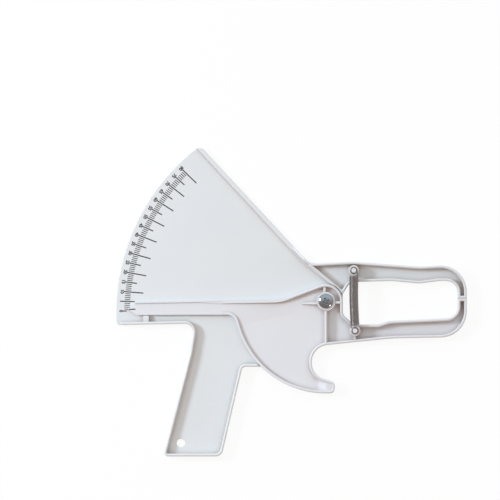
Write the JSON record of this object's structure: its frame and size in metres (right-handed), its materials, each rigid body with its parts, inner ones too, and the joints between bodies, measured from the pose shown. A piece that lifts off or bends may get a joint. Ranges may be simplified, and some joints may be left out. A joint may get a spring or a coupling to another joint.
{
  "type": "skinfold caliper",
  "caption": "Hand-held skinfold caliper: fan-scale frame with grip and jaw, sprung lever with pointer, trigger and second jaw.",
  "frame": {"origin": "on the pivot axis, in the back plane that the caliper lies on", "axes": "+X towards the jaws, along the caliper's length; +Y towards the upper jaw and the top of the fan; +Z out of the face with the scale"},
  "size_m": [0.2661, 0.2341, 0.0158],
  "materials": {
    "frame_plastic": "satin moulded ABS, cool white",
    "lever_plastic": "satin moulded ABS, cool white",
    "post_metal": "plated sleeve",
    "screw_metal": "bright chrome plate",
    "washer_plastic": "natural nylon",
    "spring_steel": "drawn spring wire, dark oiled"
  },
  "bodies": {
    "frame_body": {"frame": "frame_plastic", "pivot_post": "post_metal", "pivot_screw": "screw_metal", "pivot_washer": "washer_plastic"},
    "lever_body": {"lever": "lever_plastic"},
    "spring_body": {"jaw_spring": "spring_steel"},
    "spring_end": {"spring_lower_hook": "spring_steel"}
  },
  "joints": [
    {"name": "lever_pivot", "type": "hinge", "parent": "frame_body", "child": "lever_body", "pos_m": [0, 0, 0.005], "axis": [0, 0, -1], "range_deg": [0, 46], "stiffness_Nm_per_rad": 0.5, "springref_deg": -85.94},
    {"name": "spring_swing", "type": "hinge", "parent": "frame_body", "child": "spring_body", "pos_m": [0.02112, 0.02337, 0.0123], "axis": [0, 0, -1], "range_deg": [0, 23.5]},
    {"name": "spring_stretch", "type": "slide", "parent": "spring_body", "child": "spring_end", "axis": [0.0218, -0.9998, 0], "range_m": [0, 0.014], "deforming": ["jaw_spring", "spring_lower_hook"]}
  ],
  "couplings": [
    {"joint": "spring_swing", "follows": "lever_pivot", "ratio": 0.5},
    {"joint": "spring_stretch", "follows": "lever_pivot", "m_per_rad": 0.01652}
  ]
}
